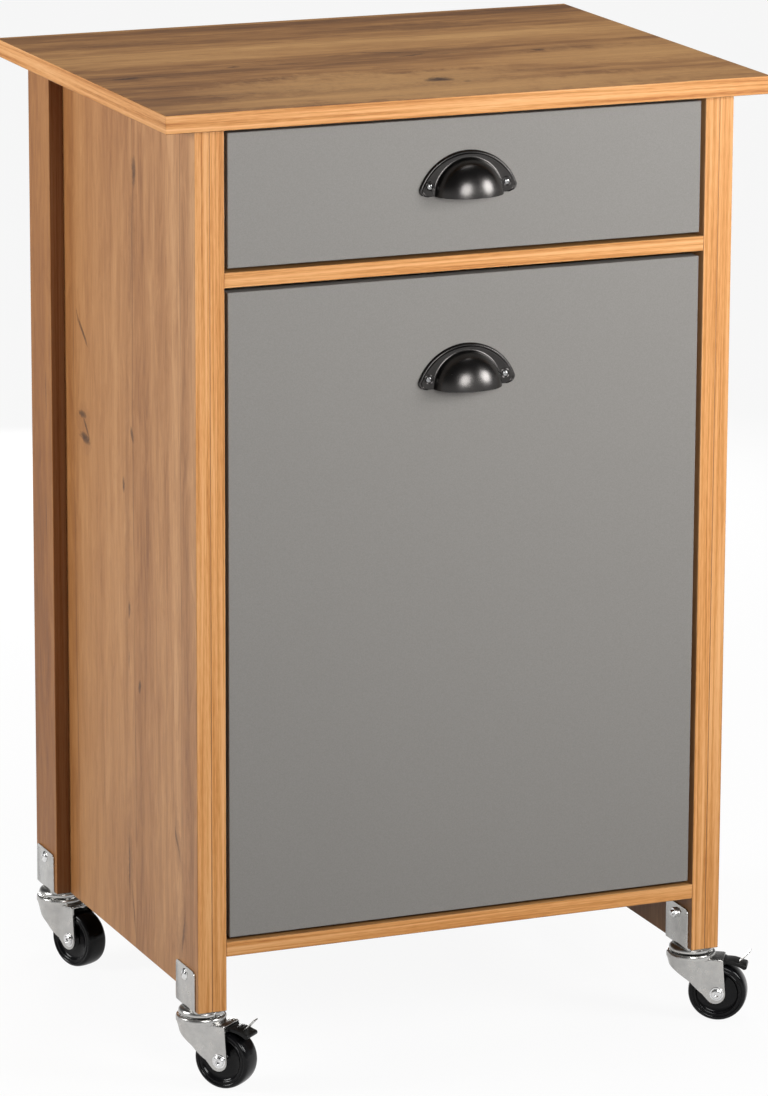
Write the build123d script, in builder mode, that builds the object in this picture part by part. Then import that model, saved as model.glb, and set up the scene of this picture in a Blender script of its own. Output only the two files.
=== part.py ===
from build123d import *
from math import cos, radians, sin
import os

# Kitchen trolley: a carcass of oak-decor boards on four swivel casters, with a drawer under the worktop and,
# below it, a tall pull-out that carries two recycling bins.
# Millimetres. X runs to the right, Y to the back and Z up, and the front faces -Y. The origin is on the floor,
# in the middle of the trolley's outline.

os.makedirs("parts", exist_ok=True)

# Carcass
BOARD = 15.0  # side panels, leg strips, shelves and both fronts
ARRIS = 0.5  # eased edge of the boards
WIDTH = 560.0  # over the leg strips
DEPTH = 475.0  # from the legs' front to the back
LEG_LENGTH = 870.0  # side panels and leg strips, up to the worktop
STRIP_WIDTH = 62.0  # leg strips, front to back
TOP_THICKNESS = 18.0
SIDE_OVERHANG = 33.0
FRONT_OVERHANG = 13.0
FOOT_ROOM = 55.0  # from the legs' lower ends to the bottom board
DRAWER_OPENING = 138.0  # clear height between divider and worktop
BACK_THICKNESS = 3.0
BACK_REBATE = 8.0  # how far the back panel reaches into each side panel

# Fronts
FRONT_RECESS = 2.0  # behind the legs' front plane
SIDE_GAP = 4.0
TOP_GAP = 5.0
BOTTOM_GAP = 3.5

# Cup pulls
PULL_SCREW_SPACING = 80.0
PULL_WIDTH = 102.0
PULL_HEIGHT = 43.0
PULL_DEPTH = 27.0  # from the front's face to the cup's lip
PULL_FLANGE = 2.0
PULL_SCREW_RISE = 10.0  # screws above the cup's lower edge
PULL_SHOULDER = 7.5  # where the crescent's arc begins, above the lower edge
PULL_CORNER = 7.0
CUP_RADIUS = 35.0
CUP_WALL = 1.8  # at the rim
CUP_CROWN = 7.0  # thickness behind the dome's crown
CUP_RINGS = 3  # sloping rings that make up the dome
HOLLOW_FLATS = 16  # flats round the cup's hollow, counted over a full turn
HOLLOW_TAPER = 35.0  # degrees by which they lean in towards the crown
BIN_PULL_DROP = 100.0  # from the tall front's top to its pull's screws
SCREW_HEAD_RADIUS = 4.0
SCREW_HEAD_HEIGHT = 2.0
SCREW_FLATS = 12  # flats that stand for the round of every screw head

# Telescopic runners, three members each
RUNNER_LENGTH = 400.0
RUNNER_THICKNESS = 12.5  # from the carcass to the box it carries
RUNNER_SHEET = 1.2
RUNNER_PLAY = 0.5  # between members
RUNNER_LIP = 1.5  # by which an open edge stays short of the next web
DRAWER_RUNNER_HEIGHT = 35.0
BIN_RUNNER_HEIGHT = 45.0
RUNNER_SETBACK = 1.0  # behind the front's rear face

# Drawer box
BOX_BOARD = 12.0
DRAWER_SIDE_HEIGHT = 100.0
DRAWER_FLOAT = 10.0  # drawer side above the divider
DRAWER_BOTTOM_THICKNESS = 3.0
DRAWER_GROOVE_DEPTH = 5.0
DRAWER_GROOVE_RISE = 10.0  # from the side's lower edge to the groove

# Bin carrier and bins
CARRIER_FLOAT = 6.0  # above the bottom board
CARRIER_SIDE_HEIGHT = 200.0
CARRIER_RUNNER_RISE = 110.0  # from the carrier's lower edge to its runners
BIN_SIDE_CLEARANCE = 1.75  # from a bin's rim to the carrier's side and to the trolley's middle
BIN_END_CLEARANCE = 5.0  # from a bin's rim to the tall front and to the carrier's back
BIN_HEIGHT = 440.0
BIN_DRAFT = 2.0  # degrees that each wall leans out
BIN_WALL = 2.5
BIN_CORNER = 30.0  # cut off each corner, and again off what that leaves, to make it nearly round
BIN_CORNER_AGAIN = 9.0
BIN_RIM = 5.0  # by which the rim stands out
BIN_RIM_HEIGHT = 14.0

# Casters. Pairs are places in the wheel's plane: along the trail from the swivel axis, and above the floor
WHEEL_RADIUS = 30.0
WHEEL_WIDTH = 24.0
AXLE_RADIUS = 3.0
RUNNING_FIT = 0.05  # radial clearance of what turns
TRAIL = 28.0  # from the swivel axis to the axle
FORK_SHEET = 2.0
WHEEL_SIDE_PLAY = 1.0
WHEEL_HEADROOM = 4.0
FORK_BOSS = 10.0  # radius of the cheeks' round lower ends
FORK_BOSS_CENTRE = (26.5, 29.5)
FORK_NECK = 20.0  # radius of the fork's rounded nose
NECK_FLATS = 12  # flats inside the nose, counted over a full turn
FORK_BACK = 34.0  # from the swivel axis to the fork's trailing edge
FORK_LEAD = 2.5  # height of the fork's front edge
FORK_WAIST = (0.5, 43.5)  # where the cheek's front edge bends
RACE_RADIUS = 25.5
LOWER_RACE_HEIGHT = 5.5
RACE_GAP = 0.5
UPPER_RACE_RADIUS = 24.0
UPPER_RACE_HEIGHT = 7.0
KING_PIN_RADIUS = 4.0
KING_NUT_RADIUS = 7.0  # over the corners of the nut that holds the fork up
KING_NUT_HEIGHT = 2.5
KING_NUT_PLAY = 0.2
BRACKET_SHEET = 2.0
BRACKET_LENGTH = 50.0
BRACKET_HEIGHT = 41.0  # up the leg
BRACKET_CORNER = 3.0
BRACKET_SCREW_RISE = 32.0  # above the leg's end
BRACKET_SCREW_RADIUS = 6.0
BRACKET_SCREW_HEIGHT = 3.0

# Brake levers of the front casters, with the same pairs
BRAKE_PIVOT = (31.5, 62.0)
BRAKE_PIN_RADIUS = 1.4
BRAKE_HUB_RADIUS = 1.8
BRAKE_WIDTH = 20.0
BRAKE_SHOE = [
    (33.0, 60.4), (36.0, 60.2), (45.0, 59.2), (55.0, 54.8), (56.2, 58.4), (46.0, 62.8), (33.0, 63.7),
]
BRAKE_TAB = [(47.5, 60.5), (49.4, 59.2), (58.3, 70.2), (56.8, 71.4)]
BRAKE_TAB_WIDTH = 15.0

# Where each caster points: the angle from +X to the trail, seen from above
CASTER_TURN = {"front_left": -50.0, "front_right": -31.0, "rear_left": -67.0, "rear_right": -40.0}

# Levels
RACE_BASE = 2 * WHEEL_RADIUS + WHEEL_HEADROOM + FORK_SHEET
UPPER_RACE_BASE = RACE_BASE + LOWER_RACE_HEIGHT + RACE_GAP
BRACKET_BASE = UPPER_RACE_BASE + UPPER_RACE_HEIGHT
LEG_BASE = BRACKET_BASE + BRACKET_SHEET
WORKTOP_BASE = LEG_BASE + LEG_LENGTH
BOTTOM_TOP = LEG_BASE + FOOT_ROOM + BOARD
DIVIDER_TOP = WORKTOP_BASE - DRAWER_OPENING
DIVIDER_BASE = DIVIDER_TOP - BOARD

# Plan
FRONT = max(PULL_DEPTH - FRONT_RECESS, FRONT_OVERHANG) / 2 - DEPTH / 2  # the legs' front plane
BACK = FRONT + DEPTH
BACK_INSIDE = BACK - BACK_THICKNESS
OUTSIDE = WIDTH / 2
PANEL_OUTSIDE = OUTSIDE - BOARD
INSIDE = PANEL_OUTSIDE - BOARD  # half the clear width
FACE = FRONT + FRONT_RECESS  # the face of both fronts
FACE_BACK = FACE + BOARD
BOX_OUTSIDE = INSIDE - RUNNER_THICKNESS
BOX_INSIDE = BOX_OUTSIDE - BOX_BOARD
RUNNER_FRONT = FACE_BACK + RUNNER_SETBACK
BOX_BACK = FACE_BACK + RUNNER_LENGTH
FORK_OUTSIDE = WHEEL_WIDTH / 2 + WHEEL_SIDE_PLAY + FORK_SHEET  # half width over the cheeks
SIDES = {"left": -1, "right": 1}


def save(solid, name):
    """Labels one finished piece and writes it under that name."""
    solid.label = name
    export_step(solid, f"parts/{name}.step")


def span(low, high):
    """The middle and the length of a stretch."""
    return (low + high) / 2, high - low


def eased_board(x_span, y_span, z_span):
    """A board between three pairs of limits, with its edges eased."""
    (x, width), (y, depth), (z, height) = span(*x_span), span(*y_span), span(*z_span)
    with BuildPart() as board:
        with BuildSketch(Plane.XY.offset(z - height / 2)):
            with Locations((x, y)):
                Rectangle(width, depth)
        extrude(amount=height)
        chamfer(board.edges(), ARRIS)
    return board


def plain_board(x_span, y_span, z_span):
    """A board between three pairs of limits, with sharp edges, for what stays out of sight."""
    (x, width), (y, depth), (z, height) = span(*x_span), span(*y_span), span(*z_span)
    with BuildPart() as board:
        with BuildSketch(Plane.XY.offset(z - height / 2)):
            with Locations((x, y)):
                Rectangle(width, depth)
        extrude(amount=height)
    return board


def save_pair(left, name):
    """Writes a piece of the left side and its mirror image on the right."""
    with BuildPart() as right:
        mirror(left.part, about=Plane.YZ)
    save(left.part, f"{name}_left")
    save(right.part, f"{name}_right")


# Casters stand under the middle of each leg
LEG_X = (OUTSIDE + INSIDE) / 2
LEG_Y = {"front": FRONT + STRIP_WIDTH / 2, "rear": BACK - STRIP_WIDTH / 2}

# Worktop
worktop = eased_board(
    (-OUTSIDE - SIDE_OVERHANG, OUTSIDE + SIDE_OVERHANG),
    (FRONT - FRONT_OVERHANG, BACK),
    (WORKTOP_BASE, WORKTOP_BASE + TOP_THICKNESS),
)
save(worktop.part, "worktop")

# Side panels, with a rebate for the back panel
board = eased_board((-PANEL_OUTSIDE, -INSIDE), (FRONT, BACK), (LEG_BASE, WORKTOP_BASE))
with BuildPart() as side_panel:
    add(board.part)
    with BuildSketch(Plane.XY.offset(WORKTOP_BASE)):
        with Locations((-INSIDE, BACK)):
            Rectangle(2 * BACK_REBATE, 2 * BACK_THICKNESS)
    extrude(amount=-(LEG_LENGTH - FOOT_ROOM), mode=Mode.SUBTRACT)
save_pair(side_panel, "side_panel")

# Leg strips on the outside of the side panels
for end, leg_y in LEG_Y.items():
    reach = STRIP_WIDTH / 2
    strip = eased_board((-OUTSIDE, -PANEL_OUTSIDE), (leg_y - reach, leg_y + reach), (LEG_BASE, WORKTOP_BASE))
    save_pair(strip, f"leg_strip_{end}")

# Divider and bottom board between the side panels, and the back panel in its rebates
for name, level in (("divider_board", DIVIDER_BASE), ("bottom_board", BOTTOM_TOP - BOARD)):
    save(eased_board((-INSIDE, INSIDE), (FRONT, BACK_INSIDE), (level, level + BOARD)).part, name)
BACK_REACH = INSIDE + BACK_REBATE
back_panel = plain_board(
    (-BACK_REACH, BACK_REACH), (BACK_INSIDE, BACK), (BOTTOM_TOP - BOARD, WORKTOP_BASE)
)
save(back_panel.part, "back_panel")


def front_panel(low, high):
    """One of the two fronts."""
    return eased_board((SIDE_GAP - INSIDE, INSIDE - SIDE_GAP), (FACE, FACE_BACK), (low, high))


def dome():
    """Points of the dome's outside, a quarter of an ellipse from the front's face out to the crown."""
    angles = [radians(90 * ring / CUP_RINGS) for ring in range(CUP_RINGS + 1)]
    return [(CUP_RADIUS * cos(angle), FACE - PULL_DEPTH * sin(angle)) for angle in angles]


def cup_hollow(base):
    """The hollow of the cup, whose flats lean in from the front's face towards the crown."""
    with BuildPart() as hollow:
        with BuildSketch(Plane.XZ.offset(-FACE)):
            with Locations((0, base)):
                RegularPolygon(CUP_RADIUS - CUP_WALL, HOLLOW_FLATS)
        extrude(amount=PULL_DEPTH - CUP_CROWN)
        draft(hollow.faces().filter_by(Axis.Y, reverse=True), Plane.XZ.offset(-FACE), HOLLOW_TAPER)
    return hollow.part


def cup_pull(screw_height):
    """A half-moon cup, open below, on a crescent flange with room for a screw at each end."""
    base = screw_height - PULL_SCREW_RISE
    hollow = cup_hollow(base)
    with BuildPart() as pull:
        with BuildSketch(Plane.XZ.offset(-FACE)) as flange:
            with BuildLine():
                rim = ThreePointArc(
                    (-PULL_WIDTH / 2, base + PULL_SHOULDER),
                    (0, base + PULL_HEIGHT),
                    (PULL_WIDTH / 2, base + PULL_SHOULDER),
                )
                Polyline(rim @ 1, (PULL_WIDTH / 2, base), (-PULL_WIDTH / 2, base), rim @ 0)
            make_face()
            fillet(flange.vertices().group_by(Axis.Y)[0], PULL_CORNER)
        extrude(amount=PULL_FLANGE)
        with BuildSketch(Plane.XY.offset(base)):
            with BuildLine():
                Polyline(*dome(), (0, FACE), close=True)
            make_face()
        revolve(axis=Axis((0, FACE, base), (0, 1, 0)), revolution_arc=-180)
        add(hollow, mode=Mode.SUBTRACT)
    return pull


def pull_screws(screw_height):
    """The heads of the two screws in the pull's flange."""
    with BuildPart() as screws:
        with BuildSketch(Plane.XZ.offset(PULL_FLANGE - FACE)):
            with Locations((0, screw_height)):
                with GridLocations(PULL_SCREW_SPACING, 0, 2, 1):
                    RegularPolygon(SCREW_HEAD_RADIUS, SCREW_FLATS)
        extrude(amount=SCREW_HEAD_HEIGHT)
    return screws


def runner(height, level, box_outside):
    """The three nested members of the left runner, as profiles drawn out from front to back."""
    wall = -INSIDE
    carried = -box_outside
    half = height / 2
    members = {}
    step = RUNNER_SHEET + RUNNER_PLAY
    shapes = {
        "outer": (wall, carried - RUNNER_LIP, half),
        "middle": (wall + step + RUNNER_PLAY, carried - RUNNER_SHEET, half - step),
        "inner": (carried, wall + 2 * step + RUNNER_LIP, half - 2 * step),
    }
    for name, (web, edge, reach) in shapes.items():
        inward = 1 if edge > web else -1
        with BuildPart() as member:
            with BuildSketch(Plane.XZ.offset(-RUNNER_FRONT)):
                with Locations(((web + edge) / 2, level)):
                    Rectangle(abs(edge - web), 2 * reach)
                with Locations(((web + edge) / 2 + inward * RUNNER_SHEET, level)):
                    Rectangle(abs(edge - web), 2 * (reach - RUNNER_SHEET), mode=Mode.SUBTRACT)
            extrude(amount=-RUNNER_LENGTH + RUNNER_SETBACK)
        members[name] = member
    return members


# Drawer
DRAWER_FRONT_BASE = DIVIDER_TOP + BOTTOM_GAP
DRAWER_FRONT_TOP = WORKTOP_BASE - TOP_GAP
DRAWER_SCREWS = (DRAWER_FRONT_BASE + DRAWER_FRONT_TOP) / 2
DRAWER_BASE = DIVIDER_TOP + DRAWER_FLOAT
DRAWER_TOP = DRAWER_BASE + DRAWER_SIDE_HEIGHT
GROOVE_BASE = DRAWER_BASE + DRAWER_GROOVE_RISE
GROOVE_TOP = GROOVE_BASE + DRAWER_BOTTOM_THICKNESS
save(front_panel(DRAWER_FRONT_BASE, DRAWER_FRONT_TOP).part, "drawer_front")
save(cup_pull(DRAWER_SCREWS).part, "drawer_pull")
save(pull_screws(DRAWER_SCREWS).part, "drawer_pull_screws")

board = eased_board((-BOX_OUTSIDE, -BOX_INSIDE), (FACE_BACK, BOX_BACK), (DRAWER_BASE, DRAWER_TOP))
with BuildPart() as drawer_side:
    add(board.part)
    with BuildSketch(Plane.XZ.offset(-FACE_BACK)):
        with Locations((-BOX_INSIDE, (GROOVE_BASE + GROOVE_TOP) / 2)):
            Rectangle(2 * DRAWER_GROOVE_DEPTH, DRAWER_BOTTOM_THICKNESS)
    extrude(amount=FACE_BACK - BOX_BACK, mode=Mode.SUBTRACT)
save_pair(drawer_side, "drawer_side")

drawer_back = eased_board(
    (-BOX_INSIDE, BOX_INSIDE), (BOX_BACK - BOX_BOARD, BOX_BACK), (GROOVE_TOP, DRAWER_TOP)
)
save(drawer_back.part, "drawer_back")

DRAWER_BOTTOM_REACH = BOX_INSIDE + DRAWER_GROOVE_DEPTH
drawer_bottom = plain_board(
    (-DRAWER_BOTTOM_REACH, DRAWER_BOTTOM_REACH), (FACE_BACK, BOX_BACK), (GROOVE_BASE, GROOVE_TOP)
)
save(drawer_bottom.part, "drawer_bottom")

for name, member in runner(DRAWER_RUNNER_HEIGHT, (DRAWER_BASE + DRAWER_TOP) / 2, BOX_OUTSIDE).items():
    save_pair(member, f"drawer_runner_{name}")

# Bin pull-out: the tall front, and behind it the carrier that the bins stand in
BIN_FRONT_BASE = BOTTOM_TOP + BOTTOM_GAP
BIN_FRONT_TOP = DIVIDER_BASE - TOP_GAP
BIN_SCREWS = BIN_FRONT_TOP - BIN_PULL_DROP
CARRIER_BASE = BOTTOM_TOP + CARRIER_FLOAT
CARRIER_TOP = CARRIER_BASE + CARRIER_SIDE_HEIGHT
CARRIER_DECK = CARRIER_BASE + BOX_BOARD
save(front_panel(BIN_FRONT_BASE, BIN_FRONT_TOP).part, "bin_front")
save(cup_pull(BIN_SCREWS).part, "bin_pull")
save(pull_screws(BIN_SCREWS).part, "bin_pull_screws")

carrier_side = eased_board((-BOX_OUTSIDE, -BOX_INSIDE), (FACE_BACK, BOX_BACK), (CARRIER_BASE, CARRIER_TOP))
save_pair(carrier_side, "carrier_side")
carrier_base = eased_board((-BOX_INSIDE, BOX_INSIDE), (FACE_BACK, BOX_BACK), (CARRIER_BASE, CARRIER_DECK))
save(carrier_base.part, "carrier_base")
carrier_back = eased_board(
    (-BOX_INSIDE, BOX_INSIDE), (BOX_BACK - BOX_BOARD, BOX_BACK), (CARRIER_DECK, CARRIER_TOP)
)
save(carrier_back.part, "carrier_back")

for name, member in runner(BIN_RUNNER_HEIGHT, CARRIER_BASE + CARRIER_RUNNER_RISE, BOX_OUTSIDE).items():
    save_pair(member, f"bin_runner_{name}")

# Bins: tapered tubs with cut corners and a turned-down rim
BIN_WIDTH = BOX_INSIDE - 2 * (BIN_RIM + BIN_SIDE_CLEARANCE)  # under the rim
BIN_DEPTH = BOX_BACK - BOX_BOARD - FACE_BACK - 2 * (BIN_RIM + BIN_END_CLEARANCE)
BIN_CENTRE = (-BOX_INSIDE / 2, (FACE_BACK + BOX_BACK - BOX_BOARD) / 2)
BIN_MOUTH = CARRIER_DECK + BIN_HEIGHT


def tub(grow, drop, lean):
    """A block from the bin's mouth down, grown or shrunk all round, whose walls lean in towards its foot."""
    with BuildPart() as block:
        with BuildSketch(Plane.XY.offset(BIN_MOUTH)) as mouth:
            with Locations(BIN_CENTRE):
                Rectangle(BIN_WIDTH + 2 * grow, BIN_DEPTH + 2 * grow)
            chamfer(mouth.vertices(), BIN_CORNER)
            chamfer(mouth.vertices(), BIN_CORNER_AGAIN)
        extrude(amount=-drop)
        if lean:
            draft(block.faces().filter_by(Axis.Z, reverse=True), Plane.XY.offset(BIN_MOUTH), -lean)
    return block.part


body = tub(0, BIN_HEIGHT, BIN_DRAFT)
rim = tub(BIN_RIM, BIN_RIM_HEIGHT, 0)
hollow = tub(-BIN_WALL, BIN_HEIGHT - BIN_WALL, BIN_DRAFT)
with BuildPart() as recycling_bin:
    add(body)
    add(rim)
    add(hollow, mode=Mode.SUBTRACT)
save_pair(recycling_bin, "recycling_bin")


# Casters
def upright(x, y, turn):
    """The plane through a caster's swivel axis along its trail, with sketch Y as height above the floor."""
    along = (cos(radians(turn)), sin(radians(turn)), 0)
    return Plane(origin=(x, y, 0), x_dir=along, z_dir=(sin(radians(turn)), -cos(radians(turn)), 0))


def level(x, y, turn, height):
    """A level plane at some height, with sketch X along a caster's trail."""
    return Plane(origin=(x, y, height), x_dir=(cos(radians(turn)), sin(radians(turn)), 0), z_dir=(0, 0, 1))


def make_fork(x, y, turn, braked):
    """Pressed fork, open below and behind, with the lower swivel race on top and the axle riveted in."""
    wheel_plane = upright(x, y, turn)
    plate_base = RACE_BASE - FORK_SHEET
    race_top = RACE_BASE + LOWER_RACE_HEIGHT
    with BuildPart() as fork:
        with BuildSketch(level(x, y, turn, 0)):
            Circle(FORK_NECK)
            Rectangle(FORK_BACK + FORK_BOSS, 2 * FORK_OUTSIDE, align=(Align.MIN, Align.CENTER))
        extrude(amount=RACE_BASE)
        with BuildSketch(level(x, y, turn, plate_base)):
            Circle(RACE_RADIUS)
        extrude(amount=race_top - plate_base)
        with BuildSketch(wheel_plane):
            with BuildLine():
                Polyline(
                    (-RACE_RADIUS, plate_base - FORK_LEAD),
                    (-RACE_RADIUS, race_top),
                    (FORK_BACK, race_top),
                    (FORK_BACK, plate_base),
                    FORK_WAIST,
                    close=True,
                )
            make_face()
            with BuildLine():
                CenterArc(FORK_BOSS_CENTRE, FORK_BOSS, 0, 360)
                Polyline(FORK_WAIST, (FORK_WAIST[0], plate_base), (FORK_BACK, plate_base))
            make_hull()
        extrude(amount=RACE_RADIUS, both=True, mode=Mode.INTERSECT)
        with BuildSketch(level(x, y, turn, 0)):
            RegularPolygon(FORK_NECK - FORK_SHEET, NECK_FLATS)
            Rectangle(
                FORK_BACK + 2 * FORK_BOSS, 2 * (FORK_OUTSIDE - FORK_SHEET), align=(Align.MIN, Align.CENTER)
            )
        extrude(amount=plate_base, mode=Mode.SUBTRACT)
        with BuildSketch(level(x, y, turn, plate_base)):
            Circle(KING_PIN_RADIUS + RUNNING_FIT)
        extrude(amount=race_top - plate_base, mode=Mode.SUBTRACT)
        with BuildSketch(wheel_plane):
            with Locations((TRAIL, WHEEL_RADIUS)):
                Circle(AXLE_RADIUS)
        extrude(amount=FORK_OUTSIDE, both=True)
        if braked:
            with BuildSketch(wheel_plane):
                with Locations(BRAKE_PIVOT):
                    Circle(BRAKE_PIN_RADIUS + RUNNING_FIT)
            extrude(amount=FORK_OUTSIDE, both=True, mode=Mode.SUBTRACT)
    return fork


def make_wheel(x, y, turn):
    """Wheel, bored to run on its axle."""
    with BuildPart() as wheel:
        with BuildSketch(upright(x, y, turn)):
            with Locations((TRAIL, WHEEL_RADIUS)):
                Circle(WHEEL_RADIUS)
                Circle(AXLE_RADIUS + RUNNING_FIT, mode=Mode.SUBTRACT)
        extrude(amount=WHEEL_WIDTH / 2, both=True)
    return wheel


def make_brake(x, y, turn):
    """Brake lever: a shoe over the tread on two stub pins, with a tab for the foot."""
    wheel_plane = upright(x, y, turn)
    with BuildPart() as lever:
        with BuildSketch(wheel_plane):
            with BuildLine():
                Polyline(*BRAKE_SHOE, close=True)
            make_face()
            with Locations(BRAKE_PIVOT):
                Circle(BRAKE_HUB_RADIUS)
        extrude(amount=BRAKE_WIDTH / 2, both=True)
        with BuildSketch(wheel_plane):
            with BuildLine():
                Polyline(*BRAKE_TAB, close=True)
            make_face()
        extrude(amount=BRAKE_TAB_WIDTH / 2, both=True)
        with BuildSketch(wheel_plane):
            with Locations(BRAKE_PIVOT):
                Circle(BRAKE_PIN_RADIUS)
        extrude(amount=FORK_OUTSIDE, both=True)
    return lever


for end in LEG_Y:
    for side in SIDES:
        place = (SIDES[side] * LEG_X, LEG_Y[end], CASTER_TURN[f"{end}_{side}"])
        braked = end == "front"
        save(make_fork(*place, braked).part, f"caster_fork_{end}_{side}")
        save(make_wheel(*place).part, f"caster_wheel_{end}_{side}")
        if braked:
            save(make_brake(*place).part, f"brake_lever_{end}_{side}")

# Brackets that straddle the legs' lower ends, each with the upper swivel race and the fork's king pin
NUT_TOP = RACE_BASE - FORK_SHEET - KING_NUT_PLAY
STANDS = [(sign * LEG_X, leg_y) for sign in SIDES.values() for leg_y in LEG_Y.values()]
with BuildPart() as brackets:
    with BuildSketch(Plane.XY.offset(BRACKET_BASE)):
        with Locations(*STANDS):
            Rectangle(2 * BOARD + 2 * BRACKET_SHEET, BRACKET_LENGTH)
    extrude(amount=BRACKET_SHEET + BRACKET_HEIGHT)
    fillet(brackets.faces().sort_by(Axis.Z)[0:4].edges().filter_by(Axis.Y), BRACKET_CORNER)
    with BuildSketch(Plane.XY.offset(LEG_BASE)):
        with Locations(*STANDS):
            Rectangle(2 * BOARD, BRACKET_LENGTH)
    extrude(amount=BRACKET_HEIGHT, mode=Mode.SUBTRACT)
    for base, radius, height in (
        (UPPER_RACE_BASE, UPPER_RACE_RADIUS, UPPER_RACE_HEIGHT),
        (NUT_TOP, KING_PIN_RADIUS, UPPER_RACE_BASE - NUT_TOP),
    ):
        with BuildSketch(Plane.XY.offset(base)):
            with Locations(*STANDS):
                Circle(radius)
        extrude(amount=height)
    with BuildSketch(Plane.XY.offset(NUT_TOP)):
        with Locations(*STANDS):
            RegularPolygon(KING_NUT_RADIUS, 6)
    extrude(amount=-KING_NUT_HEIGHT)
save(brackets.part, "caster_brackets")

# Heads of the screws that hold each bracket to its leg
with BuildPart() as screws:
    for sign in SIDES.values():
        with BuildSketch(Plane.YZ.offset(sign * (OUTSIDE + BRACKET_SHEET))):
            with Locations(*[(leg_y, LEG_BASE + BRACKET_SCREW_RISE) for leg_y in LEG_Y.values()]):
                RegularPolygon(BRACKET_SCREW_RADIUS, SCREW_FLATS)
        extrude(amount=sign * BRACKET_SCREW_HEIGHT)
save(screws.part, "bracket_screws")
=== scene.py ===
from math import acos, atan2, cos, degrees, hypot, pi, radians, sin, sqrt

import bmesh
import bpy
from mathutils import Matrix, Vector


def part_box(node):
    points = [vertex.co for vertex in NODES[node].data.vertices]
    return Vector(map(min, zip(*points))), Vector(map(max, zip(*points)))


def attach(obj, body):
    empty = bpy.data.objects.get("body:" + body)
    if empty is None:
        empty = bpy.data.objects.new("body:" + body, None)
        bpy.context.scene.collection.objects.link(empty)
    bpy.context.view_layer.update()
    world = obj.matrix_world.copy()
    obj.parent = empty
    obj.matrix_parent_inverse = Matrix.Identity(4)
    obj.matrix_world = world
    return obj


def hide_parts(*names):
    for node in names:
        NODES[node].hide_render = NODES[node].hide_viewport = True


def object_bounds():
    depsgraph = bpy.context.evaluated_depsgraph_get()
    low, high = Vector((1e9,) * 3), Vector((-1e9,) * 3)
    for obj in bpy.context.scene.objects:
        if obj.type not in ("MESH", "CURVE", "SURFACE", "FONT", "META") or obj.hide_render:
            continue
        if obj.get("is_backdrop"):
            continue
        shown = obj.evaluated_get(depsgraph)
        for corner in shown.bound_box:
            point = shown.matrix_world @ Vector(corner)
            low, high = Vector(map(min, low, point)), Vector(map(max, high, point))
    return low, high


# Looks of the kitchen trolley. Shapes are written in millimetres and turned into metres where meshes are made.
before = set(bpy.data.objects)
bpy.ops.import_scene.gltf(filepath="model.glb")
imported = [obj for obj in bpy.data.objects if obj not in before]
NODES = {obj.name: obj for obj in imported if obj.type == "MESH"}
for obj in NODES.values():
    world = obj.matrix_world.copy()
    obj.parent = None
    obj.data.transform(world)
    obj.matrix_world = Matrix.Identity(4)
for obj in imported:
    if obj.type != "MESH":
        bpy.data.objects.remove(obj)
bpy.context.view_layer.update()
MM = 0.001


# Node helpers
def colour(red, green, blue):
    """A colour given as it shows on screen, 0 to 255, in linear light."""
    made = [c / 255 / 12.92 if c <= 10.3 else ((c / 255 + 0.055) / 1.055) ** 2.4 for c in (red, green, blue)]
    return (*made, 1.0)


def feed(tree, socket, value):
    """Links or sets one input."""
    if isinstance(value, bpy.types.NodeSocket):
        tree.links.new(value, socket)
    else:
        socket.default_value = value


def put(tree, kind, inputs=(), **settings):
    """Adds a node with its settings, and its inputs as (name or place, value) pairs."""
    made = tree.nodes.new(kind)
    for name, value in settings.items():
        setattr(made, name, value)
    for name, value in inputs:
        feed(tree, made.inputs[name], value)
    return made


def math(tree, operation, *values, clamp=False):
    made = put(tree, "ShaderNodeMath", enumerate(values), operation=operation, use_clamp=clamp)
    return made.outputs[0]


def blend(tree, factor, first, second, mode="MIX"):
    """Mixes two colours."""
    inputs = ((0, factor), (6, first), (7, second))
    return put(tree, "ShaderNodeMix", inputs, data_type="RGBA", blend_type=mode).outputs[2]


def ramp(tree, factor, *stops):
    """A colour ramp with stops as (position, colour or grey)."""
    made = put(tree, "ShaderNodeValToRGB", ((0, factor),))
    elements = made.color_ramp.elements
    while len(elements) < len(stops):
        elements.new(0.5)
    for element, (position, shade) in zip(elements, stops):
        element.position = position
        element.color = shade if isinstance(shade, tuple) else (shade, shade, shade, 1.0)
    return made.outputs[0]


def noise(tree, vector, scale=1.0, detail=2.0, roughness=0.5, distortion=0.0):
    inputs = (("Vector", vector), ("Scale", scale), ("Detail", detail), ("Roughness", roughness))
    return put(tree, "ShaderNodeTexNoise", (*inputs, ("Distortion", distortion))).outputs["Fac"]


def vector(tree, x, y, z):
    return put(tree, "ShaderNodeCombineXYZ", ((0, x), (1, y), (2, z))).outputs[0]


def new_material(name):
    material = bpy.data.materials.new(name)
    material.use_nodes = True
    tree = material.node_tree
    tree.nodes.clear()
    shader = put(tree, "ShaderNodeBsdfPrincipled")
    output = put(tree, "ShaderNodeOutputMaterial")
    tree.links.new(shader.outputs[0], output.inputs[0])
    return material, tree, shader


def dress(tree, shader, bump=None, strength=0.1, distance=0.0005, **inputs):
    """Feeds the main shader, and gives it a bump."""
    for name, value in inputs.items():
        feed(tree, shader.inputs[name.replace("_", " ")], value)
    if bump is not None:
        pairs = (("Height", bump), ("Strength", strength), ("Distance", distance))
        tree.links.new(put(tree, "ShaderNodeBump", pairs).outputs[0], shader.inputs["Normal"])


def place(tree):
    """The object's own coordinates as three sockets."""
    return put(tree, "ShaderNodeSeparateXYZ", ((0, put(tree, "ShaderNodeTexCoord").outputs["Object"]),)).outputs


def add(tree, *values):
    total = values[0]
    for value in values[1:]:
        total = math(tree, "ADD", total, value)
    return total


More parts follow.
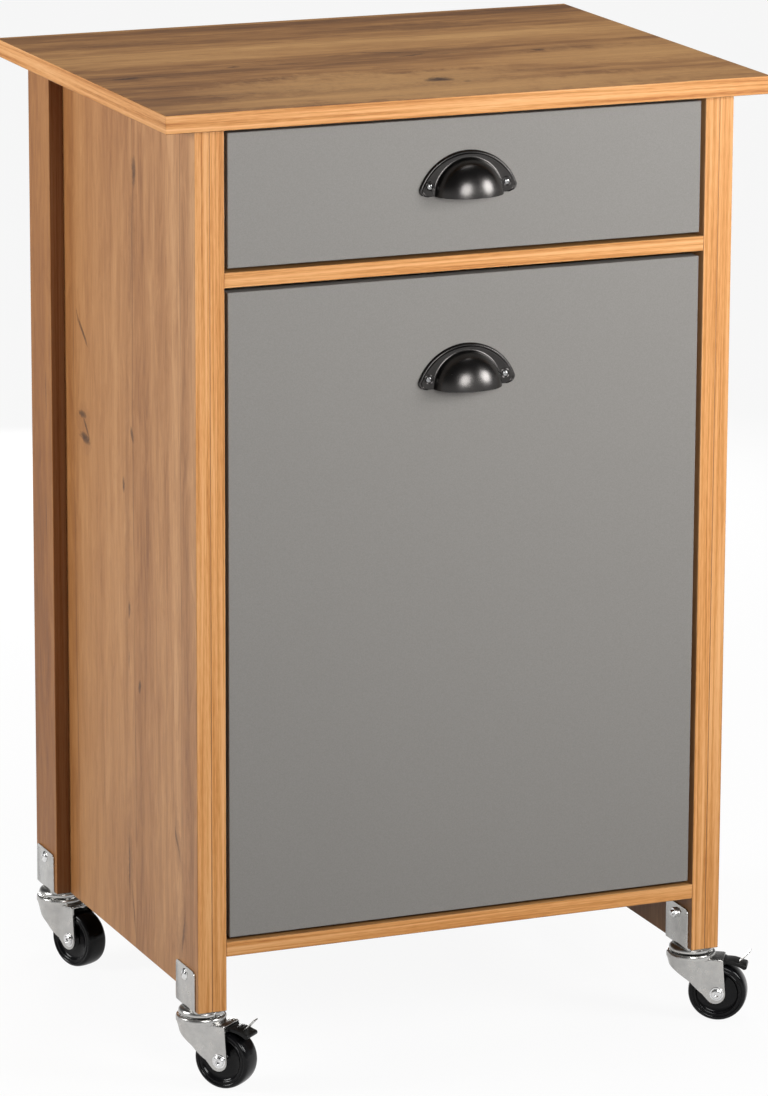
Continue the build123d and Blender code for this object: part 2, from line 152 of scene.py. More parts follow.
def times(tree, *values):
    total = values[0]
    for value in values[1:]:
        total = math(tree, "MULTIPLY", total, value)
    return total


def streaks(tree, u, v, along, across, lot=0.0, detail=3.0, roughness=0.55, distortion=0.0):
    """Noise drawn out along the grain, from -0.5 to 0.5."""
    point = vector(tree, times(tree, u, along), times(tree, v, across), lot)
    return math(tree, "SUBTRACT", noise(tree, point, 1.0, detail, roughness, distortion), 0.5)


def marks(tree, u, v, spots):
    """Long dark marks: (u, v, half length, half width, slope, strength), 1 in the middle of a mark."""
    wobble = streaks(tree, u, v, 38.0, 30.0, 4.0, 4.0, 0.7)
    fray = streaks(tree, u, v, 160.0, 700.0, 7.0, 3.0)
    total = None
    for mid_u, mid_v, length, width, slope, strength in spots:
        along = math(tree, "SUBTRACT", u, mid_u)
        off = add(tree, v, -mid_v, times(tree, along, -slope), times(tree, wobble, width * 3.0))
        reach = math(tree, "POWER", math(tree, "ABSOLUTE", math(tree, "DIVIDE", along, length)), 2.0)
        side = math(tree, "POWER", math(tree, "ABSOLUTE", math(tree, "DIVIDE", off, width)), 2.0)
        mark = math(tree, "SUBTRACT", 1.0, add(tree, reach, side), clamp=True)
        mark = times(tree, math(tree, "POWER", mark, 0.8), strength)
        total = mark if total is None else math(tree, "MAXIMUM", total, mark)
    return math(tree, "ADD", total, times(tree, total, fray, 1.6), clamp=True)


PORE, JOINT_LINE, CRACK = colour(104, 66, 38), colour(98, 64, 38), colour(62, 38, 24)
# Painted shade for the rear strips' front-facing edges in the recess beside the side panel
RECESS_SHADE_COLOUR = colour(88, 44, 14)
BANDING = (
    (0.3, colour(172, 105, 49)),
    (0.43, colour(205, 140, 76)),
    (0.53, colour(222, 159, 97)),
    (0.68, colour(236, 179, 121)),
)
SHADE_PLACES = (0.24, 0.42, 0.56, 0.74)


def oak(name, grain, across, thick, shades, shift, contrast, cracks=(), clouds=(), lights=(), joint=None, cast=None):
    """Oak decor on the faces of a board, with banded edges. grain, across and thick are axes 0, 1 or 2.

    shades are four colours from dark to light, joint is (a joint's place, plank width), and the last argument is
    (from, to, stops, inner): painted shade across the board, darker and more golden towards one end, and the place
    beyond which edges that look back get painted shade.
    """
    material, tree, shader = new_material(name)
    axes = place(tree)
    u, v, w = axes[grain], axes[across], axes[thick]
    bend = streaks(tree, u, v, 2.0, 4.0, shift, 2.0)
    bent = add(tree, v, times(tree, bend, 0.014))
    lanes = streaks(tree, u, bent, 0.7, 9.0, shift, 1.0)
    bands = streaks(tree, u, bent, 1.6, 34.0, shift + 1.0, 3.0, 0.6, 0.2)
    flames = streaks(tree, u, bent, 13.0, 90.0, shift + 2.0, 4.0, 0.68, 0.9)
    fibres = streaks(tree, u, v, 24.0, 560.0, shift + 3.0, 3.0, 0.62)
    dashes = streaks(tree, u, v, 85.0, 1200.0, shift + 4.0, 1.0)
    tone = add(
        tree,
        0.5,
        times(tree, lanes, 0.5 * contrast),
        times(tree, bands, 0.55 * contrast),
        times(tree, flames, 0.5 * contrast),
        times(tree, fibres, 0.16),
    )
    if joint:
        planks = math(tree, "DIVIDE", math(tree, "SUBTRACT", bent, joint[0]), joint[1])
        shade = put(tree, "ShaderNodeTexWhiteNoise", (("W", math(tree, "FLOOR", planks)),), noise_dimensions="1D")
        tone = add(tree, tone, times(tree, math(tree, "SUBTRACT", shade.outputs["Value"], 0.5), 0.14 * contrast))
    face = ramp(tree, tone, *zip(SHADE_PLACES, shades))
    # Small open pores, darker than the wood round them
    pits = ramp(tree, add(tree, 0.5, dashes), (0.27, 1.0), (0.37, 0.0))
    face = blend(tree, times(tree, pits, 0.2), face, PORE)
    if joint:
        near = math(tree, "ABSOLUTE", math(tree, "SUBTRACT", math(tree, "FRACT", planks), 0.5))
        line = ramp(tree, near, (0.488, 0.0), (0.5, 1.0))
        worn = ramp(tree, add(tree, 0.5, streaks(tree, u, v, 9.0, 3.0, shift + 8.0, 2.0)), (0.38, 0.15), (0.6, 1.0))
        face = blend(tree, times(tree, line, worn, 0.5), face, JOINT_LINE)
    if clouds:
        face = blend(tree, times(tree, marks(tree, u, v, clouds), 0.75), face, shades[0])
    if lights:
        face = blend(tree, times(tree, marks(tree, u, v, lights), 0.8), face, shades[3])
    if cracks:
        face = blend(tree, marks(tree, u, v, cracks), face, CRACK)
    # Painted shade: the face is multiplied darker and more golden across the board, towards the rear of the side
    # panels, standing in for the shade that falls there
    if cast:
        place_across = put(tree, "ShaderNodeMapRange", ((0, v), (1, cast[0]), (2, cast[1]), (3, 0.0), (4, 1.0)))
        face = blend(tree, 1.0, face, ramp(tree, place_across.outputs[0], *cast[2]), "MULTIPLY")
    # Edge banding: bright oak with wavy lines along the edge
    run = add(tree, u, v)
    lines = times(tree, streaks(tree, run, w, 3.0, 260.0, shift, 3.0, 0.6, 0.5), 0.85)
    fine = streaks(tree, run, w, 70.0, 1500.0, shift, 2.0)
    edge = ramp(tree, add(tree, 0.5, lines, times(tree, fine, 0.3)), *BANDING)
    normal = put(tree, "ShaderNodeTexCoord").outputs["Normal"]
    facing = put(tree, "ShaderNodeSeparateXYZ", ((0, normal),)).outputs
    if cast:
        # Painted shade: the rear strips' front-facing edges, in the recess beside the side panel, are darkened
        looks_back = math(tree, "LESS_THAN", facing[across], -0.6)
        recess_shade_mask = times(tree, looks_back, math(tree, "GREATER_THAN", v, cast[3]))
        edge = blend(tree, times(tree, recess_shade_mask, 0.72), edge, RECESS_SHADE_COLOUR)
    is_face = math(tree, "GREATER_THAN", math(tree, "ABSOLUTE", facing[thick]), 0.6)
    base = blend(tree, is_face, edge, face)
    relief = add(tree, times(tree, fibres, 0.7), times(tree, dashes, 0.5))
    rough = add(tree, 0.5, times(tree, fibres, 0.12))
    dress(tree, shader, relief, 0.14, 0.0003, Base_Color=base, Roughness=rough, Specular_IOR_Level=0.35)
    return material


def grey_board():
    """Grey melamine with a fine sanded grain."""
    material, tree, shader = new_material("grey_melamine")
    point = put(tree, "ShaderNodeTexCoord").outputs["Object"]
    grain = noise(tree, point, 900.0, 3.0, 0.65)
    cloud = noise(tree, point, 9.0, 3.0)
    base = ramp(tree, grain, (0.32, colour(131, 128, 124)), (0.68, colour(141, 138, 134)))
    base = blend(tree, math(tree, "MULTIPLY", cloud, 0.12), base, colour(121, 118, 115))
    rough = math(tree, "ADD", 0.44, math(tree, "MULTIPLY", grain, 0.12))
    dress(tree, shader, grain, 0.16, 0.0002, Base_Color=base, Roughness=rough, Specular_IOR_Level=0.4)
    return material


def metal(name, light, dark, roughness, grain=90.0, bump=0.04, spread=0.12):
    """Polished or plated metal with a faint cloudy finish."""
    material, tree, shader = new_material(name)
    point = put(tree, "ShaderNodeTexCoord").outputs["Object"]
    cloud = noise(tree, point, grain, 4.0, 0.6)
    fine = noise(tree, point, grain * 14.0, 2.0)
    base = ramp(tree, cloud, (0.3, dark), (0.7, light))
    rough = math(tree, "ADD", roughness, math(tree, "MULTIPLY", cloud, spread))
    dress(tree, shader, fine, bump, 0.0001, Base_Color=base, Roughness=rough)
    shader.inputs["Metallic"].default_value = 1.0
    return material


def moulded(name, light, dark, roughness, grain=420.0, bump=0.06):
    """Moulded plastic."""
    material, tree, shader = new_material(name)
    point = put(tree, "ShaderNodeTexCoord").outputs["Object"]
    cloud = noise(tree, point, 30.0, 3.0)
    fine = noise(tree, point, grain, 3.0, 0.6)
    base = ramp(tree, cloud, (0.3, dark), (0.7, light))
    rough = math(tree, "ADD", roughness, math(tree, "MULTIPLY", fine, 0.1))
    dress(tree, shader, fine, bump, 0.0002, Base_Color=base, Roughness=rough)
    return material


def white_board(name, light, dark, bump=0.1):
    """White melamine or painted hardboard, with a faint orange peel."""
    material, tree, shader = new_material(name)
    point = put(tree, "ShaderNodeTexCoord").outputs["Object"]
    grain = noise(tree, point, 380.0, 3.0)
    cloud = noise(tree, point, 6.0, 3.0)
    base = ramp(tree, cloud, (0.3, dark), (0.7, light))
    rough = math(tree, "ADD", 0.42, math(tree, "MULTIPLY", grain, 0.16))
    dress(tree, shader, grain, bump, 0.0002, Base_Color=base, Roughness=rough)
    return material


X, Y, Z = 0, 1, 2

# Marks in the decor, as marks() takes them, in metres
TOP_CRACKS = (
    (-0.275, -0.030, 0.018, 0.0050, 0.1, 0.9),
    (-0.247, -0.029, 0.020, 0.0022, 0.0, 0.5),
    (-0.155, -0.004, 0.008, 0.0045, 0.0, 0.8),
    (-0.090, -0.004, 0.060, 0.0020, 0.05, 0.45),
    (0.012, 0.026, 0.030, 0.0028, -0.35, 0.75),
    (0.035, 0.000, 0.022, 0.0032, 0.3, 0.7),
    (0.090, 0.000, 0.050, 0.0020, 0.04, 0.45),
    (0.003, -0.142, 0.017, 0.0120, 0.0, 1.0),
    (0.026, -0.160, 0.005, 0.0040, 0.0, 0.6),
    (0.166, -0.013, 0.008, 0.0050, 0.0, 0.8),
    (0.215, 0.004, 0.035, 0.0018, 0.05, 0.4),
)
TOP_CLOUDS = (
    (-0.240, -0.030, 0.110, 0.016, 0.06, 0.55),
    (-0.120, -0.080, 0.060, 0.010, 0.0, 0.35),
    (0.030, 0.012, 0.110, 0.018, 0.05, 0.5),
    (0.110, 0.165, 0.120, 0.022, 0.0, 0.6),
    (-0.220, 0.170, 0.090, 0.018, 0.0, 0.45),
    (0.003, -0.142, 0.035, 0.018, 0.0, 0.35),
    (0.190, -0.012, 0.090, 0.012, 0.05, 0.4),
)
SIDE_CRACKS = (
    (0.875, -0.019, 0.018, 0.0050, 0.0, 0.7),
    (0.820, -0.012, 0.060, 0.0016, -0.08, 0.35),
    (0.687, 0.135, 0.015, 0.0040, 1.05, 0.8),
    (0.700, 0.150, 0.008, 0.0018, 0.4, 0.6),
    (0.601, 0.137, 0.0045, 0.0110, 0.0, 0.8),
    (0.590, 0.126, 0.011, 0.0036, 0.9, 0.7),
    (0.578, 0.131, 0.0060, 0.0180, 0.0, 0.9),
    (0.611, -0.008, 0.009, 0.0036, 0.3, 0.7),
    (0.555, 0.016, 0.009, 0.0036, 0.0, 0.7),
    (0.430, 0.004, 0.010, 0.0036, 0.0, 0.65),
    (0.378, 0.005, 0.012, 0.0020, 0.0, 0.5),
    (0.358, -0.026, 0.008, 0.0048, 0.0, 0.7),
    (0.165, 0.008, 0.035, 0.0026, 0.0, 0.6),
    (0.120, -0.004, 0.030, 0.0022, 0.2, 0.5),
    (0.250, -0.165, 0.030, 0.0034, 0.5, 0.6),
    (0.150, -0.186, 0.025, 0.0030, -0.2, 0.55),
    (0.610, 0.205, 0.030, 0.0024, 0.0, 0.4),
    (0.480, 0.208, 0.030, 0.0022, 0.0, 0.4),
)
SIDE_CLOUDS = (
    (0.810, -0.012, 0.110, 0.010, -0.08, 0.5),
    (0.500, 0.008, 0.230, 0.007, -0.02, 0.4),
    (0.588, 0.130, 0.030, 0.022, 0.0, 0.4),
    (0.165, 0.006, 0.060, 0.010, 0.0, 0.55),
    (0.260, -0.160, 0.070, 0.016, 0.45, 0.5),
    (0.140, -0.180, 0.060, 0.014, -0.2, 0.5),
    (0.560, -0.140, 0.200, 0.006, 0.0, 0.3),
)
TOP_LIGHTS = (
    (0.02, -0.200, 0.32, 0.045, 0.0, 0.75),
    (-0.06, -0.130, 0.20, 0.060, 0.02, 0.85),
    (0.24, -0.060, 0.14, 0.060, 0.0, 0.5),
    (-0.16, 0.060, 0.12, 0.020, 0.03, 0.4),
)
TOP_SHADES = (colour(98, 63, 34), colour(143, 99, 56), colour(174, 127, 76), colour(198, 151, 95))
SIDE_SHADES = (colour(134, 88, 53), colour(178, 127, 83), colour(201, 150, 103), colour(221, 172, 126))
# Painted shade across the side panels: from the front, the colour is multiplied darker and more golden towards the
# rear
SIDE_PAINTED_SHADE = (
    (0.18, (1.0, 1.0, 1.0, 1.0)),
    (0.48, (0.88, 0.83, 0.75, 1.0)),
    (0.74, (0.76, 0.66, 0.50, 1.0)),
    (0.86, (0.67, 0.55, 0.37, 1.0)),
)
OAK_TOP = oak("oak_top", X, Y, Z, TOP_SHADES, 0.31, 1.0, TOP_CRACKS, TOP_CLOUDS, TOP_LIGHTS, (-0.02, 0.13))
OAK_SIDE = oak(
    "oak_side", Z, Y, X, SIDE_SHADES, 0.77, 0.9, SIDE_CRACKS, SIDE_CLOUDS,
    joint=(-0.012, 0.172), cast=(-0.24, 0.26, SIDE_PAINTED_SHADE, 0.15),
)
OAK_SHELF = oak("oak_shelf", X, Y, Z, TOP_SHADES, 0.12, 0.8)
GREY = grey_board()
WHITE = white_board("white_melamine", colour(226, 226, 223), colour(214, 214, 211))
HARDBOARD = white_board("painted_hardboard", colour(214, 212, 206), colour(202, 200, 194), 0.2)
ZINC = metal("zinc_plate", (0.55, 0.54, 0.52, 1.0), (0.45, 0.445, 0.435, 1.0), 0.2)
RUNNER_STEEL = metal("runner_steel", (0.7, 0.7, 0.7, 1.0), (0.58, 0.58, 0.58, 1.0), 0.3)
NICKEL = metal("black_nickel", (0.078, 0.074, 0.071, 1.0), (0.06, 0.057, 0.056, 1.0), 0.24, 60.0, 0.02, 0.05)
PULL_SCREW = metal("nickel_screw", (0.42, 0.42, 0.42, 1.0), (0.3, 0.3, 0.3, 1.0), 0.18)
SCREW = metal("bright_screw", (0.82, 0.82, 0.82, 1.0), (0.7, 0.7, 0.7, 1.0), 0.16)
BLACK_WHEEL = moulded("black_wheel", (0.006, 0.006, 0.007, 1.0), (0.003, 0.003, 0.0035, 1.0), 0.12)
BLACK_LEVER = moulded("black_lever", (0.012, 0.012, 0.012, 1.0), (0.007, 0.007, 0.007, 1.0), 0.28)
BIN_PLASTIC = moulded("bin_plastic", (0.085, 0.087, 0.09, 1.0), (0.07, 0.072, 0.075, 1.0), 0.5, 700.0, 0.25)
for material in (BLACK_WHEEL, BLACK_LEVER):
    material.node_tree.nodes["Principled BSDF"].inputs["Specular IOR Level"].default_value = 0.2


def paint(material, *names):
    for name in names:
        NODES[name].data.materials.clear()
        NODES[name].data.materials.append(material)


paint(OAK_TOP, "worktop")
paint(OAK_SIDE, "side_panel_left", "side_panel_right")
paint(OAK_SIDE, *[n for n in NODES if n.startswith("leg_strip")])
paint(OAK_SHELF, "divider_board", "bottom_board")
paint(HARDBOARD, "back_panel")
paint(GREY, "drawer_front", "bin_front")
paint(WHITE, *[n for n in NODES if n.startswith(("drawer_side", "drawer_b", "carrier_"))])
paint(RUNNER_STEEL, *[n for n in NODES if "runner" in n])


# Mesh helpers
SHARP_EDGE = 30.0  # degrees
SLOT_WALL = 0.08  # slope of a slot's sides


def piece(name, points, faces, body, material, slot=None, instead_of=(), matrix=None, sharp=35.0, finish=None):
    """One closed piece from points in millimetres, on a body, standing for CAD nodes where it replaces them."""
    mesh = bpy.data.meshes.new(name)
    mesh.from_pydata([Vector(p) * MM for p in points], [], faces)
    work = bmesh.new()
    work.from_mesh(mesh)
    bmesh.ops.remove_doubles(work, verts=work.verts, dist=1e-6)
    bmesh.ops.recalc_face_normals(work, faces=work.faces)
    if finish:
        finish(work)
    work.to_mesh(mesh)
    work.free()
    if matrix is not None:
        mesh.transform(matrix)
    mesh.shade_smooth()
    mesh.set_sharp_from_angle(angle=radians(sharp))
    mesh.materials.append(material)
    made = bpy.data.objects.new(name, mesh)
    bpy.context.scene.collection.objects.link(made)
    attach(made, body)
    if instead_of:
        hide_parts(*instead_of)
    return made


def rounded_edges(width, segments=2):
    """A finish for piece(): rounds every edge sharper than SHARP_EDGE. Width in millimetres."""

    def run(work):
        edges = [e for e in work.edges if e.is_manifold and e.calc_face_angle(0.0) > radians(SHARP_EDGE)]
        bmesh.ops.bevel(
            work, geom=edges, offset=width * MM, segments=segments, profile=0.5, affect="EDGES", clamp_overlap=True
        )

    return run


def slotted(width, depth, turn=0.0):
    """A finish for piece(): cuts a slot across a head that looks along local Z. Millimetres and degrees."""

    def run(work):
        across = Vector((cos(radians(turn)), sin(radians(turn)), 0.0))
        for half in (-width / 2 - SLOT_WALL, -width / 2, width / 2, width / 2 + SLOT_WALL):
            geometry = work.verts[:] + work.edges[:] + work.faces[:]
            bmesh.ops.bisect_plane(work, geom=geometry, plane_co=across * half * MM, plane_no=across)
        floor_level = max(v.co.z for v in work.verts) - depth * MM
        for vertex in work.verts:
            if abs(vertex.co.dot(across)) < (width / 2 + 0.04) * MM and vertex.co.z > floor_level:
                vertex.co.z = floor_level

    return run


def rounded_corners(radius, level, width):
    """A finish for piece(): rounds the corners at a height, then every sharp edge a little."""

    def run(work):
        top = level * MM - 1e-5
        edges = [e for e in work.edges if all(v.co.z > top for v in e.verts) and e.calc_length() < 2.5 * MM]
        bmesh.ops.bevel(work, geom=edges, offset=radius * MM, segments=5, profile=0.5, affect="EDGES")
        rounded_edges(width)(work)

    return run


def lathe(profile, count=64, centre=(0.0, 0.0)):
    """Points and faces of a closed profile of (radius, height) pairs turned about the local Z axis."""
    points, faces = [], []
    for index in range(count):
        angle = 2 * pi * index / count
        points += [(centre[0] + r * cos(angle), centre[1] + r * sin(angle), h) for r, h in profile]
    size = len(profile)
    for index in range(count):
        following = (index + 1) % count
        for k in range(size):
            after = (k + 1) % size
            quad = (index * size + k, index * size + after, following * size + after, following * size + k)
            faces.append(quad)
    return points, faces


def slab(outline, low, high):
    """Points and faces of an outline in local X and Y, from one local Z to another."""
    size = len(outline)
    points = [(x, y, low) for x, y in outline] + [(x, y, high) for x, y in outline]
    faces = [tuple(reversed(range(size))), tuple(range(size, 2 * size))]
    faces += [(k, (k + 1) % size, size + (k + 1) % size, size + k) for k in range(size)]
    return points, faces


def together(*shapes):
    """Several shapes' points and faces as one."""
    points, faces = [], []
    for some_points, some_faces in shapes:
        start = len(points)
        points += some_points
        faces += [tuple(i + start for i in face) for face in some_faces]
    return points, faces


def arc(centre, radius, start, end, count):
    """Points on an arc, angles in degrees."""
    angles = [radians(start + (end - start) * k / count) for k in range(count + 1)]
    return [(centre[0] + radius * cos(a), centre[1] + radius * sin(a)) for a in angles]


def swept_grid(rows):
    """Points and faces of a grid given row by row."""
    points = [p for row in rows for p in row]
    width = len(rows[0])
    faces = []
    for r in range(len(rows) - 1):
        for c in range(width - 1):
            faces.append((r * width + c, r * width + c + 1, (r + 1) * width + c + 1, (r + 1) * width + c))
    return points, faces


def thick_sheet(rows, offset_rows):
    """A closed sheet between two grids of points with the same shape."""
    outer, outer_faces = swept_grid(rows)
    inner, inner_faces = swept_grid(offset_rows)
    count, width, height = len(outer), len(rows[0]), len(rows)
    faces = outer_faces + [tuple(i + count for i in reversed(face)) for face in inner_faces]
    ring = list(range(width))
    ring += [r * width + width - 1 for r in range(1, height)]
    ring += [(height - 1) * width + c for c in range(width - 2, -1, -1)]
    ring += [r * width for r in range(height - 2, 0, -1)]
    for k, first in enumerate(ring):
        second = ring[(k + 1) % len(ring)]
        faces.append((first, second, second + count, first + count))
    return outer + inner, faces


# Cup pulls
PULL_BASES = {"drawer": 871.25, "bin": 683.0}
FACE = -223.0
CUP_RADIUS, CUP_DEPTH, PULL_HALF, PULL_HEIGHT = 35.0, 27.0, 51.0, 43.0
EAR_RADIUS, SHOULDER = 7.0, 7.5
RISE = PULL_HEIGHT - SHOULDER
RIM_RADIUS = (PULL_HALF**2 + RISE**2) / (2 * RISE)
RIM_CENTRE = PULL_HEIGHT - RIM_RADIUS
FLANGE = 2.2
DOME_POWER = 2.1  # 2 would be a half ellipse
DOME_SHARES = [0.0, 0.12, 0.25, 0.38, 0.5, 0.6, 0.7, 0.78, 0.85, 0.9, 0.94, 0.97, 0.988, 0.997, 1.0]
FILLET_STEPS = (0.4, 0.8, 1.2, 1.6)  # beyond the dome
EDGE_STEPS = [4.6, 4.0, 3.4, 2.8, 2.1, 1.5, 1.0, 0.7, 0.4, 0.2, 0.05, 0.0]  # in from the flange's edge
PULL_SCREW_SIDES = (("left", -40.0), ("right", 40.0))
PULL_SCREW_RISE = 10.0


def pull_reach(angle):
    """How far the crescent flange reaches from the cup's centre, in a direction."""
    x, z = cos(angle), sin(angle)
    mirrored = abs(x)
    on_rim = RIM_CENTRE * z + sqrt((RIM_CENTRE * z) ** 2 - RIM_CENTRE**2 + RIM_RADIUS**2)
    if on_rim * z >= SHOULDER:
        return on_rim
    centre = (PULL_HALF - EAR_RADIUS, EAR_RADIUS)
    toward = centre[0] * mirrored + centre[1] * z
    inside = toward**2 - centre[0] ** 2 - centre[1] ** 2 + EAR_RADIUS**2
    return toward + sqrt(max(inside, 0.0))


def pull_height(radius, reach):
    """How far the pull's face stands off the front at a distance from the cup's centre."""
    if radius <= CUP_RADIUS:
        share = radius / CUP_RADIUS
        return FLANGE + (CUP_DEPTH - FLANGE) * (1 - share**DOME_POWER) ** 0.5
    foot = min(1.0, (radius - CUP_RADIUS) / 1.6)
    level = FLANGE - 0.75 * sin(foot * pi / 2)
    from_edge = reach - radius
    bead = max(0.0, 1 - ((from_edge - 2.1) / 1.5) ** 2)
    level += 1.25 * bead
    if from_edge < 1.0:
        level *= max(0.0, sqrt(1 - (1 - from_edge) ** 2) * 0.75 + 0.25)
    return level


def cup_pull(kind, body):
    """The hollow dome with its crescent flange, as one closed sheet."""
    base = PULL_BASES[kind]
    quarter = [radians(a) for a in [0, 2, 4, 6, 8, 10, 13, 16, 20, *range(25, 90, 5)]]
    angles = sorted({round(a, 6) for a in [*quarter, pi / 2, *(pi - a for a in quarter)]})
    outer, inner = [], []
    for angle in angles:
        reach = pull_reach(angle)
        radii = [CUP_RADIUS * s for s in DOME_SHARES]
        # Four radii between the dome and the flange's edge, squeezed where there is little room
        radii += [r for r in (CUP_RADIUS + d for d in FILLET_STEPS) if r < reach - 4.7] or [
            CUP_RADIUS + (reach - 4.6 - CUP_RADIUS) * k / 5 for k in range(1, 5)
        ]
        while len(radii) < len(DOME_SHARES) + len(FILLET_STEPS):
            radii.append(radii[-1] + (reach - 4.6 - radii[-1]) / 2)
        radii += [reach - d for d in EDGE_STEPS]
        row, back = [], []
        for radius in radii:
            height = pull_height(radius, reach)
            row.append((radius * cos(angle), FACE - height, base + radius * sin(angle)))
            if radius <= CUP_RADIUS - 0.01:
                share = radius / CUP_RADIUS
                deep = max(0.02, (CUP_DEPTH - 1.9) * max(0.0, 1 - (share / 0.947) ** DOME_POWER) ** 0.5)
                back.append((radius * cos(angle), FACE - deep, base + radius * sin(angle)))
            else:
                back.append((radius * cos(angle), FACE - 0.02, base + radius * sin(angle)))
        outer.append(row)
        inner.append(back)
    points, faces = thick_sheet(outer, inner)
    piece(f"{kind}_pull_cup", points, faces, body, NICKEL, "black_nickel", [f"{kind}_pull"], sharp=50.0)


def dome_profile(radius, height, base=0.0):
    """The closed profile of a domed head: (radius, height) pairs."""
    steps = 6
    pairs = [(0.001, base), (radius, base)]
    for k in range(1, steps):
        angle = pi / 2 * k / steps
        pairs.append((radius * cos(angle), base + height * sin(angle)))
    return [*pairs, (0.001, base + height)]


def head_matrix(x, y, z, axis):
    """A frame at a point whose local Z looks along an axis. Millimetres."""
    turn = Vector(axis).to_track_quat("Z", "Y").to_matrix().to_4x4()
    return Matrix.Translation(Vector((x, y, z)) * MM) @ turn


for kind, body in (("drawer", "drawer"), ("bin", "bin_pullout")):
    cup_pull(kind, body)
    for side, across in PULL_SCREW_SIDES:
        here = head_matrix(across, FACE, PULL_BASES[kind] + PULL_SCREW_RISE, (0, -1, 0))
        ring = lathe([(3.4, 1.0), (5.2, 1.0), (5.0, 2.2), (4.4, 2.5), (3.6, 2.1)], 32)
        piece(f"{kind}_pull_rim_{side}", *ring, body, NICKEL, "black_nickel", matrix=here)
        head = lathe(dome_profile(3.3, 1.9, 1.2), 32)
        slot = slotted(0.8, 1.0, 35)
        screw = piece(
            f"{kind}_pull_screw_{side}", *head, body, PULL_SCREW, "zinc_steel", matrix=here, finish=slot
        )
    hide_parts(f"{kind}_pull_screws")

# Casters. Local X is the trail, local Y is up and local Z is the axle
LEG_X, LEG_Y = 265.0, {"front": -194.0, "rear": 219.0}
SIDES = {"left": -1, "right": 1}
TURN = {"front_left": -50.0, "front_right": -31.0, "rear_left": -67.0, "rear_right": -40.0}
TRAIL, WHEEL = 28.0, 30.0
BOSS, BOSS_RADIUS, WAIST = (26.5, 29.5), 10.0, (0.5, 43.5)
NECK, CHEEK, SHEET, RACE = 20.0, 15.0, 2.0, 25.5
PLATE_TOP, PLATE_BASE, BACK_EDGE = 66.0, 64.0, 34.0


def upright(x, y, turn):
    """A caster's local frame."""
    a = radians(turn)
    return Matrix(((cos(a), 0, sin(a), x * MM), (sin(a), 0, -cos(a), y * MM), (0, 1, 0, 0), (0, 0, 0, 1)))


def level_frame(x, y, turn=0.0):
    """A caster's frame with local Z up."""
    return Matrix.Translation((x * MM, y * MM, 0)) @ Matrix.Rotation(radians(turn), 4, "Z")


def tangent(point, above):
    """The angle on the fork's boss where a line from a point touches it."""
    dx, dy = point[0] - BOSS[0], point[1] - BOSS[1]
    reach = acos(BOSS_RADIUS / hypot(dx, dy))
    return degrees(atan2(dy, dx)) + (-degrees(reach) if above else degrees(reach))


FRONT_TANGENT = tangent(WAIST, False)
BACK_TANGENT = tangent((BACK_EDGE, PLATE_BASE), True)


def cheek_low(t):
    """The cheek's lower edge at a place along the trail."""
    if t <= WAIST[0]:
        return 61.5 - (t + RACE) * (61.5 - WAIST[1]) / (WAIST[0] + RACE)
    a = radians(FRONT_TANGENT)
    touch = (BOSS[0] + BOSS_RADIUS * cos(a), BOSS[1] + BOSS_RADIUS * sin(a))
    if t <= touch[0]:
        return WAIST[1] + (t - WAIST[0]) * (touch[1] - WAIST[1]) / (touch[0] - WAIST[0])
    return BOSS[1] - sqrt(max(0.0, BOSS_RADIUS**2 - (t - BOSS[0]) ** 2))


def cheek_high(t):
    """The cheek's upper end, which falls along its trailing edge."""
    if t <= BACK_EDGE:
        return PLATE_BASE + 1.0
    a = radians(BACK_TANGENT)
    touch = (BOSS[0] + BOSS_RADIUS * cos(a), BOSS[1] + BOSS_RADIUS * sin(a))
    if t <= touch[0]:
        return PLATE_BASE + (t - BACK_EDGE) * (touch[1] - PLATE_BASE) / (touch[0] - BACK_EDGE)
    return BOSS[1] + sqrt(max(0.0, BOSS_RADIUS**2 - (t - BOSS[0]) ** 2))


def fork_shell():
    """The pressed sheet from one cheek round the nose to the other, flared into the race."""
    flat = sqrt(NECK**2 - CHEEK**2)
    ends = [BOSS[0] + BOSS_RADIUS * sin(radians(a)) for a in (88, 80, 70, 60, 50, 40, 28, 14, 0)]
    run = [t for t in ends if t > BACK_EDGE] + [BACK_EDGE] + [t for t in ends if t < BACK_EDGE]
    run += [24.0, 21.0, 18.0, 15.5, flat]
    near = [(t, CHEEK) for t in run]
    nose_start = degrees(atan2(CHEEK, flat))
    nose = [(x, y) for x, y in arc((0, 0), NECK, nose_start, 360 - nose_start, 34)][1:-1]
    path = near + nose + [(t, -s) for t, s in reversed(near)]
    flare_from, flare_to, layers = 45.0, 65.0, 14
    rows, inner = [], []
    for t, s in path:
        low, high = cheek_low(t), cheek_high(t)
        low = min(low, high - 0.05)
        reach = hypot(t, s)
        # The sheet's outward direction
        out = (t / reach, s / reach) if t < flat - 0.01 else (0.0, 1.0 if s > 0 else -1.0)
        row, row_in = [], []
        for k in range(layers + 1):
            z = low + (high - low) * k / layers
            lift = max(0.0, min(1.0, (z - flare_from) / (flare_to - flare_from)))
            ease = 0.75 * lift + 0.25 * lift**3
            scale = max(reach, RACE - 1.0) / reach
            flare = (scale - 1) * ease
            p = (t * (1 + flare), z, s * (1 + flare))
            row.append(p)
            row_in.append((p[0] - out[0] * SHEET, z, p[2] - out[1] * SHEET))
        rows.append(row)
        inner.append(row_in)
    return thick_sheet(rows, inner)


